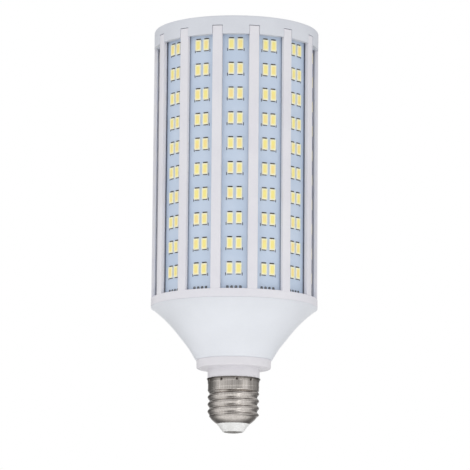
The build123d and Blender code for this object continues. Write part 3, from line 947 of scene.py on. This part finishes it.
def shellRadius(angle, level):
    crest, root, pitch = shell["crestRadius"], shell["rootRadius"], shell["pitch"]
    band, lip, swell = shell["bandRadius"], shell["lipLevel"], shell["lipSwell"]
    coneTop = shellFoot + shell["coneHeight"]
    share = min((level - shellFoot) / shell["coneHeight"], 1.0)
    base = shell["endRadius"] + (root - shell["endRadius"]) * share
    base += shell["coneBulge"] * math.sin(math.pi * share)
    phase = (level - shell["crestLevel"]) / pitch - angle / (2 * math.pi)
    wave = (0.5 + 0.5 * math.cos(2 * math.pi * phase)) ** shell["crestPower"]
    fadeFoot, fadeFull = [coneTop + step for step in shell["fadeIn"]]
    radius = base + (crest - root) * wave * eased(level, fadeFoot, fadeFull)
    bandFoot, bandFull = [shell["bandLevel"] + step for step in shell["bandStep"]]
    if level > bandFoot:
        radius = max(radius, band - shell["bandDrop"] * (1 - eased(level, bandFoot, bandFull)))
    radius += swell * eased(level, lip - shell["lipSwellHeight"], lip)
    radius += (shell["lipRadius"] - band - swell) * eased(level, lip, shellTop - shell["lipCurl"])
    return radius - dimple(angle, level, radius)


def dimple(angle, level, radius):
    step = 2 * math.pi / shell["dimples"]
    across = math.remainder(angle - math.radians(shell["dimpleTurn"]), step) * radius
    up = level - (shellTop - shell["dimpleDrop"])
    away = (across**2 + up**2) / (2 * shell["dimpleSpread"] ** 2)
    return shell["dimpleDepth"] * math.exp(-away) if away < 8 else 0.0


def peak(value, middle, spread):
    return math.exp(-(((value - middle) / spread) ** 2))


def grooveShade(angle, level):
    # painted shade and dark reflections: lines on each turn, the rolled edge, the foot and the
    # punched dimples
    turn = (level - shell["crestLevel"]) / shell["pitch"] - angle / (2 * math.pi)
    phase = turn - math.floor(turn)
    above = level - shellFoot
    below = shellTop - level
    # the painted dark reflection on the thread is strongest at these places round it
    stainAndDarkReflection = math.cos(paintedShellShade["places"] * (angle - math.radians(paintedShellShade["firstPlace"])))
    crest = paintedShellShade["crest"] * peak(math.remainder(phase, 1.0), *paintedShellShade["crestLine"])
    always, more = paintedShellShade["flank"]
    flank = (always + more * stainAndDarkReflection**2) * peak(phase, *paintedShellShade["flankLine"])
    always, more = paintedShellShade["floor"]
    floor = always + more * max(stainAndDarkReflection, 0.0) ** paintedShellShade["floorPower"]
    floor *= peak(phase, *paintedShellShade["floorLine"])
    thread = (crest + flank + floor) * eased(above, *paintedShellShade["threadFoot"])
    thread *= 1 - eased(level, *paintedShellShade["threadTop"])
    edge = paintedShellShade["lip"] * (1 - eased(below, *paintedShellShade["lipLine"]))
    edge += paintedShellShade["edge"] * (1 - eased(below, *paintedShellShade["edgeLine"]))
    foot = paintedShellShade["foot"] * (1 - eased(above, *paintedShellShade["footLine"]))
    pit = paintedShellShade["pit"] * dimple(angle, level, shell["lipRadius"]) / shell["dimpleDepth"]
    return min(max(thread, edge, foot, pit), 1.0)


def makeShell():
    columns = shell["columns"]
    rows = round((shellTop - shellFoot) / shell["rowStep"])
    angles = [2 * math.pi * column / columns for column in range(columns)]
    fold = shell["endRadius"] - shell["endFold"]
    points = [(fold * math.cos(angle), fold * math.sin(angle), shellFoot) for angle in angles]
    # the inward fold at the foot takes painted shade
    shades = [paintedShellShade["fold"]] * columns
    for row in range(rows + 1):
        level = shellFoot + (shellTop - shellFoot) * row / rows
        for angle in angles:
            radius = shellRadius(angle, level)
            points.append((radius * math.cos(angle), radius * math.sin(angle), level))
            shades.append(grooveShade(angle, level))
    piece = newPiece("screwCapMetal", points, wallFaces(rows + 2, columns), shellPlate)
    mark(piece, "groove", shades)
    wall = piece.modifiers.new("wall", "SOLIDIFY")
    wall.thickness = shell["wall"] * mm
    wall.offset = -1
    settle(piece)
    return piece


screwCapMetal = makeShell()
smooth(screwCapMetal, 50)
hold(screwCapMetal, "plated_shell", "screw_shell")
print("screw shell:", len(screwCapMetal.data.polygons), "faces")

# Insulator cone and end contact, as closed outlines of (radius, level, fillet)
tip = {
    "coneColumns": 128,
    "conePoints": [
        (1.6, 0.65, 0),
        (5.25, 0.65, 0.45),
        (6.1, 1.75, 1.5),
        (7.1, 3.2, 1.5),
        (8.42, 4.8, 0.12),
        (7.6, 4.8, 0),
        (7.6, 5.35, 0),
        (8.3, 5.35, 0),
        (8.3, 6.9, 0),
        (1.6, 6.9, 0),
    ],
    # a pressed disc, a little crowned, on its rivet stem
    "contactColumns": 96,
    "contactPoints": [
        (0, 0, 0),
        (2.2, 0.1, 0),
        (3.6, 0.28, 0),
        (4.8, 0.52, 0.05),
        (4.8, 0.7, 0.05),
        (1.5, 0.7, 0),
        (1.5, 7.1, 0),
        (0, 7.1, 0),
    ],
}

conePoints, contactPoints = rounded(tip["conePoints"]), rounded(tip["contactPoints"])
insulatorCone = turned("insulatorCone", conePoints, insulatorPlastic, tip["coneColumns"])
smooth(insulatorCone)
hold(insulatorCone, "insulator_plastic", "base_insulator")
tipContact = turned("tipContact", contactPoints, contactMetal, tip["contactColumns"])
smooth(tipContact)
hold(tipContact, "contact_metal", "centre_contact")
print("insulator and contact turned")

# Surface-mounted lamps: packages, windows and leads on every strip
lamps = {
    "rows": 10,
    "columns": 2,
    "rowPitch": 12.722,
    "columnPitch": 4.5,
    "firstLevel": 78.8,
    "width": 3.1,
    "length": 5.6,
    "thickness": 0.75,
    "cornerCut": 0.12,
    "topEdge": 0.12,
    "topInset": 0.2,
    "windowWidth": 2.3,
    "windowLength": 4.7,
    "windowDepth": 0.16,
    "windowCorner": 0.4,
    "windowSlope": 0.16,
    "rimCorner": 0.45,
    "fillGap": 0.02,
    "fillLevels": (-0.05, 0.02, 0.07),  # from the window's floor
    "fillTop": (0.62, 0.72, 0.3),  # shares of its width and length, cut corner
    "leadWidth": 2.4,
    "leadSink": 0.1,
    "leadReach": (0.35, 0.7),
    "leadSlope": 0.12,
    "leadHeight": 0.3,
    "leadShoulder": 0.6,  # share of its height
}


def ringPoints(width, length, corner, level):
    # eight points round a rectangle with cut corners
    x, y = width / 2, length / 2
    outline = [(x - corner, -y), (x, -y + corner), (x, y - corner), (x - corner, y)]
    outline += [(-px, -py) for px, py in outline]
    return [(px, py, level) for px, py in outline]


def ringPiece(name, rings):
    # rings of eight points, closed at both ends
    points = [point for ring in rings for point in ring]
    return newPiece(name, points, stackFaces(len(rings), 8))


def makePackage():
    width, length, cut = lamps["width"], lamps["length"], lamps["cornerCut"]
    top, inset, slope = lamps["thickness"], lamps["topInset"], lamps["windowSlope"]
    windowWidth, windowLength = lamps["windowWidth"], lamps["windowLength"]
    piece = ringPiece("lampPackages", [
        ringPoints(width, length, cut, 0.0),
        ringPoints(width, length, cut, top - lamps["topEdge"]),
        ringPoints(width - inset, length - inset, cut, top),
        ringPoints(windowWidth + slope, windowLength + slope, lamps["rimCorner"], top),
        ringPoints(windowWidth, windowLength, lamps["windowCorner"], top - lamps["windowDepth"]),
    ])
    # warmth on the package frame is painted glow, rising towards the window
    mark(piece, "warmth", [value for value in (0.0, 0.0, 0.25, 0.75, 1.0) for corner in range(8)])
    return piece


def makeWindow():
    # a shallow pillow that lies in the package's opening
    foot = lamps["thickness"] - lamps["windowDepth"]
    low, middle, high = [foot + step for step in lamps["fillLevels"]]
    width, length = [lamps[side] - lamps["fillGap"] for side in ("windowWidth", "windowLength")]
    across, along, corner = lamps["fillTop"]
    piece = ringPiece("lampWindows", [
        ringPoints(width, length, lamps["windowCorner"], low),
        ringPoints(width, length, lamps["windowCorner"], middle),
        ringPoints(width * across, length * along, corner, high),
    ])
    mark(piece, "warmth", [value for value in (0.0, 0.0, 1.0) for corner in range(8)])
    return piece


def makeLeads():
    # a tinned foot at each short end of the package
    half, height = lamps["leadWidth"] / 2, lamps["leadHeight"]
    near = lamps["length"] / 2 - lamps["leadSink"]
    points = []
    faces = []
    for end, reach in zip((-1, 1), lamps["leadReach"]):
        first = len(points)
        far = lamps["length"] / 2 + reach
        levels = (0.0, height * lamps["leadShoulder"], height)
        for level, toe in zip(levels, (far, far, far - lamps["leadSlope"])):
            points += [(-half, end * near, level), (half, end * near, level)]
            points += [(half, end * toe, level), (-half, end * toe, level)]
        faces += [[first + corner for corner in face] for face in stackFaces(3, 4)]
    piece = newPiece("lampLeads", points, faces)
    faceOut(piece)
    return piece


def onEveryRow(piece, finish, columnPitch=lamps["columnPitch"], drop=0.0):
    repeat(piece, finish, boardFace, lamps["firstLevel"] - drop,
           lamps["rows"], lamps["columns"], lamps["rowPitch"], columnPitch)


lampPackages = makePackage()
onEveryRow(lampPackages, packagePlastic)
lampWindows = makeWindow()
onEveryRow(lampWindows, windowSilicone)
lampLeads = makeLeads()
onEveryRow(lampLeads, leadTin)
for piece in (lampPackages, lampWindows, lampLeads):
    smooth(piece, 25)
hold(lampPackages, "lamp_body", *[f"leds_{index:02d}" for index in range(1, facets + 1)])
hold(lampWindows, "lamp_body")
hold(lampLeads, "lamp_body")
print("lamps:", len(lampPackages.data.polygons), "faces of packages")

# Printed ticks beside each pair of lamps, and tinned pads at the foot of each strip
marks = {"width": 0.4, "height": 1.5, "pitch": 8.3, "drop": 2.9, "thickness": 0.03}
pads = {
    "count": 4,
    "pitch": 2.15,
    "level": 69.3,
    "width": 1.35,
    "height": 1.7,
    "thickness": 0.05,
    "dome": 0.35,
    # share of the pad's size, cut corner, share of the dome's height
    "bead": ((0.8, 0.35, 0.6), (0.4, 0.2, 1.0)),
    "cornerCut": 0.3,
}


def makeTick():
    half, tall = marks["width"] / 2, marks["height"] / 2
    corners = ((-half, -tall), (half, -tall), (half, tall), (-half, tall))
    points = [(x, y, z) for z in (0.0, marks["thickness"]) for x, y in corners]
    return newPiece("pairTicks", points, stackFaces(2, 4))


def makePad():
    # a tinned pad with a low bead of solder on it
    width, height, top = pads["width"], pads["height"], pads["thickness"]
    rings = [ringPoints(width, height, pads["cornerCut"], level) for level in (0.0, top)]
    for share, cut, rise in pads["bead"]:
        rings.append(ringPoints(width * share, height * share, cut, top + pads["dome"] * rise))
    return ringPiece("stripPads", rings)


pairTicks = makeTick()
onEveryRow(pairTicks, markInk, marks["pitch"], marks["drop"])
hold(pairTicks, "strip_board")
stripPads = makePad()
repeat(stripPads, padSolder, boardFace, pads["level"],
       columns=pads["count"], columnPitch=pads["pitch"])
smooth(stripPads, 60)
hold(stripPads, "strip_board")
print("ticks and pads:", len(pairTicks.data.polygons) + len(stripPads.data.polygons), "faces")

# Studio: pale floor, white surround, large soft lights
middle = (0, 0, 0.11)
studio = {
    "floorLevel": -0.24,
    "floorSize": 4.0,
    "surround": 0.83,
    # what polished metal sees round it: degrees from the front towards the right, brightness
    "reflected": [
        (-180, 0.95), (-170, 0.8), (-155, 0.16), (-134, 0.12), (-108, 0.18), (-88, 0.44),
        (-70, 0.84), (-52, 0.8), (-37, 0.72), (-15, 0.58), (5, 0.5), (22, 0.47), (33, 0.6),
        (47, 0.88), (60, 0.88), (77, 0.5), (99, 0.42), (123, 0.3), (150, 0.15), (168, 0.7),
        (180, 0.95),
    ],
    # the same below, above and overhead: where each begins and is full, as the sine of its height
    "below": (0.15, 0.5),
    "belowBack": 0.2,
    "belowFront": 0.8,
    "frontFrom": (-0.65, 0.08),
    "above": (0.25, 0.5),
    "aboveGlow": 0.4,
    "overhead": (0.85, 0.97),
    "overheadLoss": 0.8,
    # place, aim, size, power, whether polished metal sees it
    "lights": {
        "keyLeft": ((-0.9, -1.2, 0.9), middle, (0.8, 1.0), 1.5, False),
        "fillRight": ((1.1, -1.0, 0.5), middle, (0.7, 1.0), 0.55, False),
        "sideLeft": ((-1.3, 0.5, 0.15), middle, (0.6, 1.0), 1.38, False),
        "sideRight": ((1.3, 0.5, 0.15), middle, (0.6, 1.0), 1.38, False),
        "bounceLow": ((-0.02, -0.36, -0.2), (0, 0, 0.03), (0.6, 0.4), 0.42, False),
        "glintLow": ((0.145, -0.22, -0.2), (0, 0, 0.04), (0.1, 0.18), 0.07, True),
    },
}


def makeFloor():
    half, level = studio["floorSize"] / 2, studio["floorLevel"]
    corners = ((-half, -half), (half, -half), (half, half), (-half, half))
    mesh = bpy.data.meshes.new("paleFloor")
    mesh.from_pydata([(x, y, level) for x, y in corners], [], [[0, 1, 2, 3]])
    floor = bpy.data.objects.new("paleFloor", mesh)
    bpy.context.scene.collection.objects.link(floor)
    finish, start, place, shader = newFinish("paleFloor", {"Roughness": 0.6})
    tone = start.blend(start.noise(place, 3.0), paint(244, 244, 244), paint(250, 250, 250))
    feed(start, shader, "Base Color", tone)
    mesh.materials.append(finish)
    floor.visible_glossy = False


def makeSurround():
    # the camera sees plain white; polished metal sees darker sides, as in a studio with black flags
    world = bpy.data.worlds.new("surround")
    bpy.context.scene.world = world
    world.use_nodes = True
    tree = world.node_tree
    tree.nodes.clear()
    start = Flow(tree)
    x, y, z = start.node("ShaderNodeTexCoord").out("Generated").split()
    turn = x.maths("ARCTAN2", x, -y) / (2 * math.pi) + 0.5
    stops = []
    for degrees, level in studio["reflected"]:
        stops.append((degrees / 360 + 0.5, (level, level, level, 1.0)))
    around = start.node("ShaderNodeValToRGB", {"stops": stops}, {0: turn})
    low = (-z).ease(*studio["below"])
    front = (-y).ease(*studio["frontFrom"])
    below = low * (studio["belowBack"] + studio["belowFront"] * front)
    above = studio["aboveGlow"] * z.ease(*studio["above"])
    overhead = 1.0 - studio["overheadLoss"] * z.ease(*studio["overhead"])
    seen = (around * (1.0 - low) + below + above) * overhead
    rays = start.node("ShaderNodeLightPath")
    glossy, toCamera = rays.out("Is Glossy Ray"), rays.out("Is Camera Ray")
    strength = glossy * seen + (1.0 - glossy) * studio["surround"]
    strength = toCamera + (1.0 - toCamera) * strength
    inputs = {"Color": (1.0, 1.0, 1.0, 1.0), "Strength": strength}
    light = start.node("ShaderNodeBackground", None, inputs)
    start.node("ShaderNodeOutputWorld", None, {"Surface": light})


def softLight(name, place, aim, size, power, mirrored):
    light = bpy.data.lights.new(name, "AREA")
    light.shape = "RECTANGLE"
    light.size, light.size_y = size
    light.energy = power
    lamp = bpy.data.objects.new(name, light)
    lamp.location = place
    lamp.rotation_euler = (Vector(aim) - Vector(place)).to_track_quat("-Z", "Y").to_euler()
    lamp.visible_glossy = mirrored
    bpy.context.scene.collection.objects.link(lamp)


makeFloor()
makeSurround()
for name, settings in studio["lights"].items():
    softLight(name, *settings)

# Camera: the photograph's angle, a little under the lamp
camera = {
    "distance": 1.743,
    "lens": 260.9,
    "sensor": 36.0,
    "nearest": 0.05,
    "elevation": -9.23,
    "turn": 0.4,
    "roll": 0.5,
    "aim": (0.0001, 0, 0.1019),
}


def makeCamera():
    data = bpy.data.cameras.new("camera")
    data.lens = camera["lens"]
    data.sensor_width = camera["sensor"]
    data.clip_start = camera["nearest"]
    body = bpy.data.objects.new("camera", data)
    bpy.context.scene.collection.objects.link(body)
    tilt, turn, roll = [math.radians(camera[angle]) for angle in ("elevation", "turn", "roll")]
    level = math.cos(tilt)
    away = Vector((math.sin(turn) * level, -math.cos(turn) * level, math.sin(tilt)))
    place = Matrix.Translation(Vector(camera["aim"]) + away * camera["distance"])
    look = (-away).to_track_quat("-Z", "Y").to_matrix().to_4x4()
    body.matrix_world = place @ look @ Matrix.Rotation(roll, 4, "Z")
    bpy.context.scene.camera = body


makeCamera()
bpy.context.scene.view_settings.view_transform = "Standard"
print("studio set")
